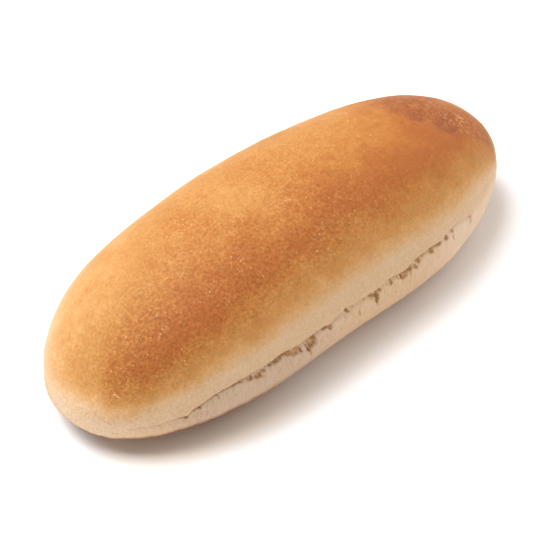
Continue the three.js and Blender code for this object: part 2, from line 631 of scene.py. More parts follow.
@dataclass
class Browning:
    """How far each place of the crust is baked: 0 is pale, 1 brown. Heat came from above and the front.

    The crust is pale where its normal's height is under pale_slope and brown where it is over full_slope,
    each given for the front and for the back.
    """

    pale_slope: tuple[float, float] = (0.27, 0.20)
    full_slope: tuple[float, float] = (0.85, 1.0)
    tip_pale: float = 0.12
    back_loss: float = 0.27
    darkest: float = 1.15
    warp: float = 2.2
    patches: tuple[Patch, ...] = (
        Patch(-73.0, 0.0, 5.0, 20.0, 0.15),
        Patch(-60.0, -18.0, 11.0, 8.0, 0.28),
        Patch(-67.0, -14.0, 4.0, 3.5, 0.25),
        Patch(-40.0, -20.0, 12.0, 5.0, 0.10),
        Patch(-52.0, 8.0, 14.0, 12.0, -0.14),
        Patch(-27.0, 9.0, 5.0, 5.0, 0.10),
        Patch(-14.0, 5.0, 7.0, 9.0, -0.12),
        Patch(-9.0, -7.0, 8.0, 8.0, -0.13),
        Patch(12.0, 20.0, 9.0, 7.0, 0.10),
        Patch(46.0, 8.0, 13.0, 16.0, 0.13),
        Patch(60.0, 7.0, 9.0, 13.0, 0.2),
        Patch(52.0, 16.0, 16.0, 8.0, 0.2),
        Patch(64.0, -8.0, 7.0, 7.0, 0.2),
        Patch(0.0, 19.0, 40.0, 6.0, 0.06),
        Patch(14.0, 2.0, 16.0, 9.0, -0.05),
        Patch(70.0, -14.0, 7.0, 9.0, 0.42),
        Patch(22.0, -13.0, 6.0, 6.0, 0.05),
        Patch(67.0, -20.0, 5.0, 6.0, 0.24),
        Patch(56.0, -17.0, 5.0, 4.0, 0.06),
        Patch(-66.0, -8.0, 4.0, 4.0, 0.16),
        Patch(-66.0, -19.5, 5.0, 3.5, 0.1),
        Patch(48.0, -8.5, 4.5, 4.5, 0.13),
    )
    scorches: tuple[Patch, ...] = (
        Patch(49.3, -1.6, 2.4, 2.0, 0.7),
        Patch(53.8, -6.8, 3.2, 2.8, 1.1),
        Patch(58.0, -2.0, 9.0, 9.0, 0.6),
        Patch(46.0, 5.0, 10.0, 6.0, 0.45),
        Patch(57.0, 11.0, 15.0, 9.0, 0.5),
        Patch(-58.0, -6.0, 6.0, 4.0, 0.15),
        Patch(-27.0, 5.0, 5.0, 3.0, 0.18),
    )
    blisters: tuple[Patch, ...] = (
        Patch(60.0, -6.0, 6.5, 7.0, 1.0),
        Patch(56.0, 4.0, 8.0, 6.0, 0.45),
        Patch(66.0, -10.0, 4.0, 5.0, 0.5),
    )

    def level(self, points: Array, normal: Array, grain: Grain) -> Array:
        """How brown the crust is.

        Args:
            points: points of the smooth loaf.
            normal: its normals there.
            grain: the noise that warps the patches.

        Returns:
            The level for each point, from 0 to a little over 1.
        """
        back = ease(normal[:, 1], -0.3, 0.5)
        tip = ease(normal[:, 0], -0.35, -0.8) * ease(normal[:, 1], 0.4, -0.1)
        pale = self.pale_slope[0] + (self.pale_slope[1] - self.pale_slope[0]) * back
        pale = pale + self.tip_pale * tip
        full = self.full_slope[0] + (self.full_slope[1] - self.full_slope[0]) * back
        fade = np.clip((normal[:, 2] - pale) / (full - pale), 0.0, 1.0)
        top = 1.0 - self.back_loss * ease(normal[:, 1], -0.55, 0.25)
        moved = self.warped(points, grain)
        extra = sum(patch.at(moved) for patch in self.patches) * ease(normal[:, 2], 0.0, 0.42)
        return np.clip(top * fade + extra, 0.1 * (1.0 - tip), self.darkest)

    def scorch(self, points: Array, normal: Array, grain: Grain) -> Array:
        """How scorched the crust is, from 0 to 1."""
        moved = self.warped(points, grain)
        return np.clip(sum(patch.at(moved) for patch in self.scorches), 0.0, 1.0) * (normal[:, 2] > 0)

    def toast(self, points: Array, normal: Array, grain: Grain) -> Array:
        """How far the edge that turns under to the sole is toasted, from 0 to 1."""
        slope = normal[:, 2] + 0.08 * grain.at(points, 3.0, 650.0)
        return (0.65 + 0.35 * grain.at(points, 7.0, 600.0)) * ease(slope, -0.3, -0.75)

    def rim(self, points: Array, normal: Array, grain: Grain) -> Array:
        """The dark line round the near end's sole: partly its browned edge, partly painted contact shade
        where the underside meets the floor.

        Args:
            points: points of the smooth loaf.
            normal: its normals there.
            grain: the noise that makes the line waver.

        Returns:
            How close each point is to the line, from 0 to 1.
        """
        slope = normal[:, 2] + 0.03 * grain.at(points, 3.0, 700.0)
        full = ease(points[:, 0], -2.0, -46.0) * (0.4 + 0.6 * ease(normal[:, 1], 0.6, -0.1))
        return full * ease(slope, -0.20, -0.46) * ease(slope, -0.99, -0.84)

    def roughness(self, points: Array, baked: Array) -> Array:
        """How pebbly the crust is: most where it is brown, least at the far end."""
        x = points[:, 0]
        return 0.32 + 0.56 * ease(baked, 0.48, 0.88) * ease(x, 42.0, -12.0) + 0.12 * ease(x, -40.0, -60.0)

    def blistered(self, points: Array) -> Array:
        """How thickly the crust is covered with burst blisters, from 0 to 1."""
        return np.clip(sum(patch.at(points) for patch in self.blisters), 0.0, 1.0)

    def warped(self, points: Array, grain: Grain) -> Array:
        """Moves points about a little, so that the patches' edges wander.

        Args:
            points: points of the smooth loaf.
            grain: the noise that moves them.

        Returns:
            The moved points.
        """
        moved = points.copy()
        moved[:, 0] += self.warp * grain.at(points, 9.0, 300.0)
        moved[:, 1] += self.warp * grain.at(points, 9.0, 400.0)
        return moved


# ---------------------------------------------------------------- the bun's skin


@dataclass
class Skin:
    """The bun's whole surface as one closed mesh, with its relief.

    Its faces measure about one pitch. From fine_above over a split's smooth lip to fine_below under it they
    are one fine pitch high, and up to the fine share of the half length a fine part of a pitch long. The
    radius share is the section's radius over the width, by which millimetres are turned into degrees.

    Each start or end pair says where a stretch is not there yet, or no more, and where it is in full. The
    shut one is where a split is nearly closed, and the band's end is counted in millimetres under the lip.
    """

    loaf: Loaf
    splits: tuple[Split, ...]
    creases: tuple[Crease, ...]
    blisters: tuple[BlisterField, ...]
    browning: Browning
    pitch: float = 0.69
    fine_pitch: float = 0.225
    fine_above: float = 2.2
    fine_below: float = 5.2
    fine_share: float = 0.82
    fine_parts: int = 3
    radius_share: float = 0.48
    sole_edge: float = 49.0
    sole_rows: int = 9
    lip_rise: float = 0.25
    lip_reach: float = 3.0
    undercut: float = 0.45
    shut_start: tuple[float, float] = (-60.0, -53.0)
    shut_end: tuple[float, float] = (-32.0, -40.0)
    band_end: tuple[float, float] = (12.0, 6.0)
    # Where the painted shade under the lip fades out along X.
    under_lip_shade_end: tuple[float, float] = (5.0, -22.0)
    far_start: tuple[float, float] = (20.0, 42.0)
    far_end: tuple[float, float] = (70.0, 56.0)
    blister_end: float = 73.0
    sole_softness: float = 0.35
    seed: int = 11

    def __post_init__(self) -> None:
        """Draws the noise that the relief uses."""
        self.grain = Grain(self.seed)
        self.other = Grain(self.seed + 1)

    def stations(self) -> Array:
        """Finds the places along the bun where the points of a row lie.

        Returns:
            Shares of the half length at an even pitch over the widest line, without the two tips.
        """
        steps = 2001
        share = np.sin(np.linspace(-0.5 * math.pi, 0.5 * math.pi, steps))
        half_width = 0.5 * self.loaf.width * self.loaf.plan.fullness(share)
        profile = np.stack([0.5 * share * self.loaf.length, half_width])
        run = np.concatenate([[0.0], np.cumsum(np.hypot(*np.diff(profile, axis=1)))])
        count = int(run[-1] / self.pitch)
        return np.interp(np.linspace(0.0, run[-1], count + 1)[1:-1], run, share)

    def fine_stations(self, coarse: Array) -> Array:
        """Divides the stations for the rows near the splits.

        Args:
            coarse: the stations at one pitch.

        Returns:
            The stations with fine parts between them, except close to the tips.
        """
        found: list[float] = []
        for low, high in zip(coarse[:-1], coarse[1:]):
            parts = self.fine_parts if max(abs(low), abs(high)) < self.fine_share else 1
            found.extend(low + (high - low) * k / parts for k in range(parts))
        return np.array([*found, coarse[-1]])

    def rows(self) -> list[tuple[Side, str, float]]:
        """The rows round the section, from the sole's middle up the back, over the ridge and down the front.

        Returns:
            For each row its side, the zone it lies in and its place in that zone.
        """
        back = self._side_rows(Side.BACK)
        front = self._side_rows(Side.FRONT)
        return back + [(Side.BACK, "crown", 1.0)] + front[::-1] + [(Side.FRONT, "sole", 0.0)]

    def _side_rows(self, side: Side) -> list[tuple[Side, str, float]]:
        """The rows of one side between the sole's middle and the ridge.

        Args:
            side: the side.

        Returns:
            For each row its side, the zone it lies in and its place in that zone.
        """
        radius = self.radius_share * self.loaf.width
        belly = round((math.radians(self.sole_edge) * radius - self.fine_below) / self.pitch) + 2
        crown = round(0.5 * math.pi * radius / self.pitch)
        fine = round((self.fine_above + self.fine_below) / self.fine_pitch)
        found = [(side, "sole", k / self.sole_rows) for k in range(1, self.sole_rows)]
        found += [(side, "belly", k / belly) for k in range(belly)]
        found += [(side, "split", k / fine) for k in range(fine)]
        found += [(side, "crown", k / crown) for k in range(crown)]
        return found

    def elevation(self, side: Side, zone: str, place: float, share: Array) -> Array:
        """Works out how high one row lies.

        Args:
            side: the row's side.
            zone: the zone it lies in.
            place: its place in that zone, from 0 to 1.
            share: its stations.

        Returns:
            The elevation in degrees about the waist at each station.
        """
        split = next(s for s in self.splits if s.side is side)
        lip = split.lip(share)
        degree = math.degrees(1.0 / (self.radius_share * self.loaf.width))
        below = lip - self.fine_below * degree
        above = lip + self.fine_above * degree
        if zone == "sole":
            return np.full_like(share, -90.0 + (90.0 - self.sole_edge) * place)
        if zone == "belly":
            return -self.sole_edge + (below + self.sole_edge) * place
        if zone == "split":
            return below + (above - below) * place
        return above + (90.0 - above) * place

    def build(self) -> tuple[Array, list[tuple[int, ...]], dict[str, Array], Array, Array]:
        """Works out the mesh.

        Returns:
            The points in millimetres, the faces, a number per point for each attribute, each point's place
            on the flat map (along the bun and round it), and the creases' places one after another.
        """
        coarse = self.stations()
        fine = self.fine_stations(coarse)
        rows = self.rows()
        lists = [fine if zone == "split" else coarse for _, zone, _ in rows]
        starts = np.concatenate([[0], np.cumsum([len(s) for s in lists])])
        share = np.concatenate(lists)
        elevation = np.concatenate([self.elevation(*row, s) for row, s in zip(rows, lists)])
        side = np.concatenate([np.full(len(s), row[0].value, float) for row, s in zip(rows, lists)])
        turn = np.where(side > 0, elevation, 180.0 - elevation)
        count = len(share)
        fold_share, fold_turn = np.array([place for crease in self.creases for place in crease.places]).T
        fold_elevation = np.where(fold_turn > 90.0, 180.0 - fold_turn, fold_turn)
        points, attributes = self.relief(
            np.append(share, fold_share), np.append(elevation, fold_elevation), np.append(turn, fold_turn)
        )
        points, folds = points[:count], points[count:]
        attributes = {name: values[:count] for name, values in attributes.items()}
        faces = self._faces(lists, starts)
        round_share = np.concatenate([np.full(len(s), k / len(rows)) for k, s in enumerate(lists)])
        flat = np.stack([share, round_share], axis=1)
        return (*self._close_tips(points, attributes, flat, faces, lists, starts), folds)

    def _faces(self, lists: list[Array], starts: Array) -> list[tuple[int, ...]]:
        """Makes the faces between each row and the next, and between the last and the first.

        Args:
            lists: the stations of each row.
            starts: the number of each row's first point.

        Returns:
            The faces, each the numbers of its points.
        """
        faces: list[tuple[int, ...]] = []
        count = len(lists)
        for here in range(count):
            there = (here + 1) % count
            a, b = lists[here], lists[there]
            first, second = int(starts[here]), int(starts[there])
            if len(a) == len(b):
                faces += [(first + i, second + i, second + i + 1, first + i + 1) for i in range(len(a) - 1)]
            else:
                faces += self._zip(a, b, first, second)
        return faces

    @staticmethod
    def _zip(a: Array, b: Array, first: int, second: int) -> list[tuple[int, ...]]:
        """Joins two rows whose stations differ.

        Args:
            a: the stations of one row.
            b: the stations of the other.
            first: the number of the one row's first point.
            second: the number of the other's.

        Returns:
            The triangles between them.
        """
        faces: list[tuple[int, ...]] = []
        i = j = 0
        while i < len(a) - 1 or j < len(b) - 1:
            step_a = i < len(a) - 1 and (j == len(b) - 1 or a[i + 1] + a[i] <= b[j + 1] + b[j])
            if step_a:
                faces.append((first + i, second + j, first + i + 1))
                i += 1
            else:
                faces.append((first + i, second + j, second + j + 1))
                j += 1
        return faces

    def _close_tips(
        self,
        points: Array,
        attributes: dict[str, Array],
        flat: Array,
        faces: list[tuple[int, ...]],
        lists: list[Array],
        starts: Array,
    ) -> tuple[Array, list[tuple[int, ...]], dict[str, Array], Array]:
        """Adds the two tips and the fans of faces round them.

        Args:
            points: the points without the tips.
            attributes: the numbers at the points.
            flat: each point's place on the flat map.
            faces: the faces, to which the fans are added.
            lists: the stations of each row.
            starts: the number of each row's first point.

        Returns:
            The points, the faces, the numbers and the flat map, all with the tips.
        """
        count = len(lists)
        for end in (-1.0, 1.0):
            ring = [int(starts[k]) + (0 if end < 0 else len(lists[k]) - 1) for k in range(count)]
            tip = points[ring].mean(axis=0)
            tip[0] = 0.5 * end * self.loaf.length
            points = np.vstack([points, tip])
            flat = np.vstack([flat, [end, 0.5]])
            attributes = {
                name: np.append(values, values[ring].mean()) for name, values in attributes.items()
            }
            last = len(points) - 1
            for k in range(count):
                here, there = ring[k], ring[(k + 1) % count]
                faces.append((last, there, here) if end < 0 else (last, here, there))
        return points, faces, attributes, flat

    def relief(self, share: Array, elevation: Array, turn: Array) -> tuple[Array, dict[str, Array]]:
        """Presses the splits and the crust's unevenness into the smooth loaf.

        Args:
            share: place along the bun for each point.
            elevation: degrees above the waist for each point.
            turn: degrees round the section for each point.

        Returns:
            The points, and the numbers that the finish reads.
        """
        loaf = self.loaf
        radius = loaf.radius(share, turn)
        smooth = loaf.place(share, turn, radius)
        normal = loaf.normals(share, turn)
        names = ("torn", "gap", "band", "dull", "far")
        found = {name: np.zeros(len(share)) for name in names}
        lift = np.zeros(len(share))
        pressed = np.zeros(len(share))
        for split in self.splits:
            on_side = np.cos(np.radians(turn)) * split.side.value > 0
            here = (values[on_side] for values in (share, elevation, radius, smooth))
            depth, raised, marks = self._press(split, *here)
            pressed[on_side] = depth
            lift[on_side] = raised
            for name in names:
                found[name][on_side] = marks[name]
        points = loaf.place(share, turn, radius - pressed, lift)
        around = np.stack([smooth[:, 0], radius * np.radians(turn), np.zeros(len(share))], axis=1)
        raised = self._unevenness(smooth, normal, around) + self._blister_relief(smooth)
        points += normal * raised[:, None]
        points[:, 2] = self._flat_sole(points)
        found["baked"] = self.browning.level(smooth, normal, self.grain)
        found["scorched"] = self.browning.scorch(smooth, normal, self.grain)
        found["toasted"] = self.browning.toast(smooth, normal, self.grain)
        # The rim: the near end's browned sole edge, darkened with painted contact shade.
        found["rim"] = self.browning.rim(smooth, normal, self.grain)
        found["charred"] = self.browning.blistered(smooth)
        found["pebbled"] = self.browning.roughness(smooth, found["baked"])
        return points, found

    def _press(
        self, split: Split, share: Array, elevation: Array, radius: Array, smooth: Array
    ) -> tuple[Array, Array, dict[str, Array]]:
        """Works out how one split dents and marks its side of the skin.

        Args:
            split: the split.
            share: place along the bun for each point.
            elevation: degrees above the waist.
            radius: the smooth loaf's radius there, in millimetres.
            smooth: the smooth loaf's points.

        Returns:
            How far each point is pressed in, how far it is pushed up behind the lip, in millimetres, and
            the marks that the finish reads: how torn the skin is, how close it lies to the gap under
            the lip, where a dark line of painted shade goes, and how far it belongs to the stretched band,
            its part darkened with painted shade and its pale far part.
        """
        x = smooth[:, 0]
        # The noise is read along the lip, at a height that gives each side its own.
        line = np.stack([x, np.zeros_like(x), np.full_like(x, 7.0 * split.side.value)], axis=1)
        ragged = 0.12 * self.grain.at(line, 2.0) + 0.12 * self.grain.at(line, 0.9, 40.0)
        ragged += 0.07 * self.grain.at(line, 0.45, 80.0)
        open_share = split.strength(share)
        level = -np.radians(elevation - split.lip(share)) * radius
        below = level + (split.rise(x) + ragged) * open_share
        down = np.clip(below, 0.0, None)
        lean = np.stack([x - 0.4 * level, np.zeros_like(x), level + 9.0 * split.side.value], axis=1)
        strands = self.other.at(lean, (0.5, 1.0, 2.2))
        crumbs = 0.7 * self.grain.at(smooth, 0.8) + 0.5 * self.other.at(smooth, 0.5)
        torn, deep = self._tear(split.torn, x, level, 0.45 * strands, 0.35 * crumbs)
        shred = split.shred * (0.6 + self.grain.at(line, 2.2, 160.0)) * bell(down, 1.4)
        shred *= ease(strands, 0.0, 0.5)
        mark = torn * np.clip(0.92 - 0.45 * strands - 0.35 * crumbs, 0.3, 1.15)
        mark = np.maximum(mark, shred) * ease(below, -0.1, 0.12) * open_share**0.5
        reach = split.drop * (1.0 + 0.5 * self.grain.at(line, 3.0, 120.0))
        groove = split.depth * bell(np.clip(below - 0.2, 0.0, None), reach) * ease(below, -0.08, 0.2)
        # Where the split is nearly shut, its groove is shallower and its dark line of painted shade bolder.
        shut = ease(x, *self.shut_end) * ease(x, *self.shut_start)
        deep = (groove * (1.0 - 0.6 * shut) + 0.7 * deep * ease(below, -0.08, 0.25)) * open_share
        over = np.where(below < 0, np.exp(np.minimum(below, 0.0) / self.lip_reach), 0.0)
        rim = self.lip_rise * open_share * over * (1.0 - 0.5 * shut)
        raised = self.undercut * np.minimum(1.0, deep) * bell(down, 1.2)
        # The gap is a dark line of painted shade in the crack under the lip; shade sets how dark it is.
        shade = 0.72 + 0.4 * self.other.at(line, 2.6, 20.0) + 0.3 * torn
        shade += 0.25 * ease(x, -10.0, -30.0) + 0.35 * shut * (1.0 + 1.6 * self.other.at(line, 1.1, 50.0))
        gap = open_share**0.5 * bell(below - 0.16 - 0.28 * shut, 0.24 + 0.16 * shut)
        front = float(split.side is Side.FRONT)
        marks = {
            "torn": mark,
            # Painted shade in the crack under the lip.
            "gap": gap * np.clip(shade, 0.35, 1.25),
            "band": open_share * ease(below, 0.0, 0.8) * ease(below, *self.band_end),
            # Painted shade under the lip towards the near end, weaker on the back.
            "dull": open_share * ease(below, 0.0, 0.8) * ease(x, *self.under_lip_shade_end) * (0.35 + 0.65 * front),
            "far": ease(below, -2.0, 2.0) * ease(x, *self.far_start) * ease(x, *self.far_end) * front,
        }
        return deep - rim, raised, marks

    @staticmethod
    def _tear(
        places: tuple[Torn, ...], x: Array, level: Array, strands: Array, crumbs: Array
    ) -> tuple[Array, Array]:
        """Works out the torn places of a split.

        Args:
            places: the torn places.
            x: place along X for each point, in millimetres.
            level: millimetres below the lip's smooth line.
            strands: noise that frays the places' edges into strands.
            crumbs: finer noise that makes them crumbly.

        Returns:
            How torn and dark each point is, from 0 to 1, and how far it is pressed in, in millimetres.
        """
        reach = 8.0
        torn, deep = np.zeros_like(x), np.zeros_like(x)
        for place in places:
            close = np.abs(x - place.x) < reach
            across = (x - place.x - place.lean * (level - place.top))[close] / (place.half + 0.1)
            low = (2.0 * level - place.top - place.low)[close] / (place.low - place.top + 0.2)
            away = np.hypot(across, np.abs(low) ** 1.5) + strands[close] + crumbs[close]
            inside = ease(away, 1.2, 0.7)
            torn[close] = np.maximum(torn[close], place.shade * inside)
            deep[close] = np.maximum(deep[close], place.depth * inside)
        return torn, deep

    def _unevenness(self, smooth: Array, normal: Array, around: Array) -> Array:
        """Low hills, pimples and, low on the sides, upright folds in the skin.

        Args:
            smooth: the smooth loaf's points.
            normal: its normals there.
            around: the points laid out flat, along the bun and round it, in millimetres.

        Returns:
            How far the skin stands out, in millimetres.
        """
        hills = 0.15 * self.grain.at(smooth, 17.0) + 0.09 * self.other.at(smooth, 8.0)
        pimples = 0.03 * self.grain.at(smooth, 2.6, 200.0) + 0.02 * self.other.at(smooth, 1.4)
        folds = 0.09 * self.grain.at(around, (1.7, 9.0, 1.0)) + 0.06 * self.other.at(around, (1.4, 5.0, 1.0))
        side = ease(normal[:, 2], 0.6, 0.2)
        return (hills + pimples + folds * side) * ease(normal[:, 2], -0.85, -0.4)

    def _blister_relief(self, smooth: Array) -> Array:
        """Scatters the blisters.

        Args:
            smooth: the smooth loaf's points.

        Returns:
            The blisters' height at each point, in millimetres.
        """
        raised = np.zeros(len(smooth))
        for number, cluster in enumerate(self.blisters):
            rng = np.random.default_rng(self.seed + 50 + number)
            x = rng.normal(cluster.x, cluster.long, cluster.count)
            turn = rng.normal(cluster.turn, cluster.around, cluster.count)
            radius = rng.uniform(*cluster.radius, cluster.count)
            spots = self.loaf.spot(np.clip(x, -self.blister_end, self.blister_end), turn)
            for spot, reach in zip(spots, radius):
                close = np.abs(smooth - spot).max(axis=1) < 2.5 * reach
                away = np.linalg.norm((smooth[close] - spot) * (1.0, 1.25, 1.0), axis=1)
                raised[close] += cluster.height * reach * bell(away, reach)
        return raised

    def _flat_sole(self, points: Array) -> Array:
        """Presses the underside flat, with its edge slightly rounded.

        Args:
            points: the skin's points.

        Returns:
            Their new heights, from 0.
        """
        z = points[:, 2]
        pressed = 0.5 * (z + np.sqrt(z * z + self.sole_softness * self.sole_softness))
        return pressed - pressed.min()


@dataclass
class Bun:
    """The whole bun, dressed and fitted to its solid."""

    finish: "CrustFinish"
    node: str = "bun"
    piece: str = "bun_crust"
    slot: str = "crust"
    browning: Browning = field(default_factory=Browning)
    front: Split = Split(
        side=Side.FRONT,
        level=5.24,
        waves=(-0.65, 1.05, 0.25),
        droop=6.6,
        start=-0.84,
        end=0.76,
        depth=0.55,
        drop=1.3,
        shred=0.3,
        torn=(
            Torn(-54.4, 0.6, 0.1, 1.5, 0.2, 0.5, 0.75),
            Torn(-51.0, 0.5, -0.8, 0.5, 0.2, 0.3, 0.85),
            Torn(-46.7, 0.3, -0.6, 2.1, 0.45, 0.2, 0.6),
            Torn(-43.5, 0.3, 0.1, 2.4, 0.1, 0.2, 0.5),
            Torn(-41.8, 1.1, -0.4, 0.9, 0.2, 0.4, 0.75),
            Torn(-39.6, 0.8, -0.4, 1.1, 0.4, 0.4, 0.75),
            Torn(-37.6, 0.9, -0.4, 1.8, 0.5, 0.5, 0.38),
            Torn(-36.5, 0.35, 0.8, 2.1, 0.2, 0.5, 0.8),
            Torn(-34.5, 0.8, -0.5, 0.4, 0.2, 0.4, 0.5),
            Torn(-34.3, 1.0, 0.9, 2.9, 0.3, 0.8, 0.62),
            Torn(-32.5, 0.4, 0.7, 2.2, 0.25, 0.5, 0.85),
            Torn(-32.6, 0.6, 2.7, 4.0, 0.2, 0.3, 0.35),
            Torn(-31.8, 0.8, -0.4, 0.8, 0.3, 0.3, 0.4),
            Torn(-29.4, 1.9, -0.8, 1.4, 0.3, 0.8, 0.68),
            Torn(-26.2, 0.45, -0.9, 0.4, 0.3, 0.5, 0.65),
            Torn(-24.6, 1.0, -0.9, 1.8, 0.5, 0.6, 0.6),
            Torn(-22.6, 0.4, 1.7, 3.0, 0.2, 0.4, 0.5),
            Torn(-21.6, 1.0, -0.2, 3.0, 0.3, 0.7, 0.6),
            Torn(-20.2, 0.5, 1.6, 3.2, 0.2, 0.5, 0.9),
            Torn(-17.0, 1.6, -0.7, 4.3, 0.12, 1.2, 0.6),
            Torn(-15.6, 0.4, -0.2, 2.8, 0.05, 0.6, 0.7),
            Torn(-18.0, 0.3, 3.5, 5.2, 0.8, 0.4, 0.7),
            Torn(-16.7, 0.35, 4.8, 7.4, 0.3, 0.3, 0.5),
            Torn(-14.6, 1.7, -0.9, -0.2, 0.1, 0.4, 0.5),
            Torn(-11.4, 1.2, -0.6, 0.9, 0.6, 0.9, 0.9),
            Torn(-10.0, 0.6, 0.4, 2.4, 0.6, 0.5, 0.65),
            Torn(-8.2, 0.6, -0.9, -0.1, 0.1, 0.4, 0.75),
            Torn(-4.2, 0.45, -1.4, 1.0, 0.75, 0.5, 0.8),
            Torn(-4.7, 0.25, -0.2, 2.4, 0.35, 0.2, 0.3),
            Torn(-1.2, 0.4, -0.9, 0.4, 0.2, 0.3, 0.45),
            Torn(1.3, 0.35, 3.3, 5.4, 0.3, 0.3, 0.35),
            Torn(2.9, 0.3, -0.6, 0.6, 0.2, 0.3, 0.45),
            Torn(4.9, 0.7, -0.6, 2.2, 0.65, 0.9, 0.85),
            Torn(7.5, 0.6, 0.2, 5.6, 0.08, 0.9, 0.75),
            Torn(7.9, 0.35, 5.2, 7.4, 0.3, 0.3, 0.35),
            Torn(5.3, 0.2, 1.2, 4.0, 0.6, 0.3, 0.5),
            Torn(8.5, 0.35, 0.0, 1.2, 0.4, 0.4, 0.6),
            Torn(12.4, 0.35, -0.9, 2.0, 0.25, 0.5, 0.6),
            Torn(14.2, 0.8, -0.6, 0.2, 0.5, 0.4, 0.5),
            Torn(14.8, 0.3, 0.0, 2.1, 0.45, 0.3, 0.5),
            Torn(17.0, 1.1, -0.1, 3.1, 0.25, 0.8, 0.62),
            Torn(16.4, 0.45, 0.4, 2.3, 0.3, 0.5, 0.85),
            Torn(19.2, 1.1, -0.3, 2.2, 0.25, 0.8, 0.78),
            Torn(20.0, 0.3, 1.9, 4.1, 0.15, 0.3, 0.5),
            Torn(21.6, 0.7, 0.6, 2.9, 0.3, 0.6, 0.7),
            Torn(22.4, 0.75, -1.0, 1.2, 0.3, 0.6, 0.62),
            Torn(25.0, 1.2, -0.9, 0.2, 0.3, 0.3, 0.4),
            Torn(28.5, 0.65, -0.9, 1.7, -0.1, 0.7, 0.7),
            Torn(28.5, 0.3, 1.0, 3.0, 0.6, 0.3, 0.4),
            Torn(30.4, 1.7, -0.5, 0.9, 0.5, 0.6, 0.58),
            Torn(34.0, 0.55, -0.5, 1.3, 0.5, 0.6, 0.7),
            Torn(37.0, 0.45, -0.9, 1.1, 0.4, 0.4, 0.5),
            Torn(37.4, 0.3, 1.0, 3.8, 0.3, 0.3, 0.35),
            Torn(46.1, 0.4, 0.3, 4.5, 0.2, 0.3, 0.4),
        ),
        edge=(
            (-57.0, 0.2), (-54.0, -0.2), (-53.0, 0.8), (-47.0, 0.95), (-43.0, 0.15), (-38.0, 0.2),
            (-32.0, 0.3), (-27.0, 0.95), (-24.0, 0.85), (-21.0, 0.3), (-17.0, 0.75), (-12.0, 0.75),
            (-10.0, 0.2), (-8.0, 0.9), (-4.0, 1.5), (0.0, 0.8), (5.0, 0.6), (7.0, 0.3), (11.0, 1.0),
            (15.0, 0.4), (17.0, 0.0), (19.0, 0.2), (22.0, 0.95), (28.0, 0.95), (31.0, 0.4), (33.5, 0.5),
            (36.0, 1.2), (40.0, 1.4), (43.0, 0.8), (46.0, -0.7), (50.0, 0.0),
        ),
    )
    back: Split = Split(
        side=Side.BACK,
        level=3.6,
        waves=(0.9, -0.5, 0.6, 0.4),
        droop=2.0,
        start=-0.66,
        end=0.7,
        depth=0.5,
        drop=1.2,
        shred=0.32,
        torn=(
            Torn(-44.0, 0.5, -0.6, 0.8, -0.3, 0.4, 0.5),
            Torn(-40.0, 1.0, -0.4, 1.0, -0.4, 0.5, 0.6),
            Torn(-37.2, 0.3, 0.2, 2.6, -0.3, 0.3, 0.4),
            Torn(-33.4, 1.7, 0.1, 1.9, -0.3, 0.8, 0.68),
            Torn(-33.0, 0.5, 1.6, 3.4, -0.2, 0.5, 0.85),
            Torn(-29.6, 0.8, 0.3, 1.6, -0.4, 0.5, 0.55),
            Torn(-24.5, 1.3, -0.2, 0.6, -0.3, 0.5, 0.6),
            Torn(-20.0, 0.3, -0.4, 1.8, -0.4, 0.3, 0.4),
            Torn(-15.6, 0.9, -0.7, 1.0, -0.5, 0.6, 0.75),
            Torn(-11.0, 1.6, -0.7, -0.1, -0.1, 0.4, 0.5),
            Torn(-6.4, 1.3, 0.0, 3.4, -0.15, 1.0, 0.64),
            Torn(-5.0, 0.45, 0.4, 5.2, 0.1, 0.7, 0.72),
            Torn(-2.6, 0.5, 0.3, 1.5, -0.3, 0.5, 0.8),
            Torn(1.6, 1.2, 0.3, 1.2, -0.4, 0.5, 0.55),
            Torn(5.4, 0.3, 0.5, 3.2, -0.35, 0.3, 0.4),
            Torn(10.0, 0.9, 0.0, 1.5, -0.4, 0.5, 0.62),
            Torn(13.2, 0.5, -0.3, 2.2, -0.5, 0.5, 0.8),
            Torn(17.4, 1.6, -0.4, 1.4, -0.3, 0.8, 0.66),
            Torn(18.6, 0.6, 1.0, 3.2, -0.2, 0.6, 0.82),
            Torn(21.4, 1.1, -0.5, 2.3, -0.25, 0.8, 0.6),
            Torn(26.8, 1.3, -0.7, 0.3, -0.3, 0.4, 0.45),
            Torn(30.6, 0.3, -0.2, 2.6, -0.3, 0.3, 0.4),
            Torn(34.0, 0.8, 0.3, 1.8, -0.4, 0.6, 0.7),
            Torn(37.6, 1.5, -0.1, 1.0, -0.4, 0.6, 0.58),
            Torn(41.0, 0.45, -0.2, 2.4, -0.3, 0.4, 0.5),
            Torn(45.0, 0.4, 0.0, 3.2, -0.2, 0.3, 0.35),
        ),
        edge=(
            (-50.0, 0.1), (-45.0, 0.7), (-38.0, 0.2), (-34.0, -0.2), (-29.0, -0.4), (-25.0, 0.2),
            (-20.0, 0.3), (-16.0, 0.8), (-10.0, 0.7), (-6.0, 0.0), (-2.0, -0.4), (4.0, -0.5), (8.0, 0.0),
            (13.0, 0.4), (19.0, 0.5), (26.0, 0.8), (32.0, 0.0), (35.0, -0.4), (40.0, 0.3), (46.0, 0.0),
        ),
    )
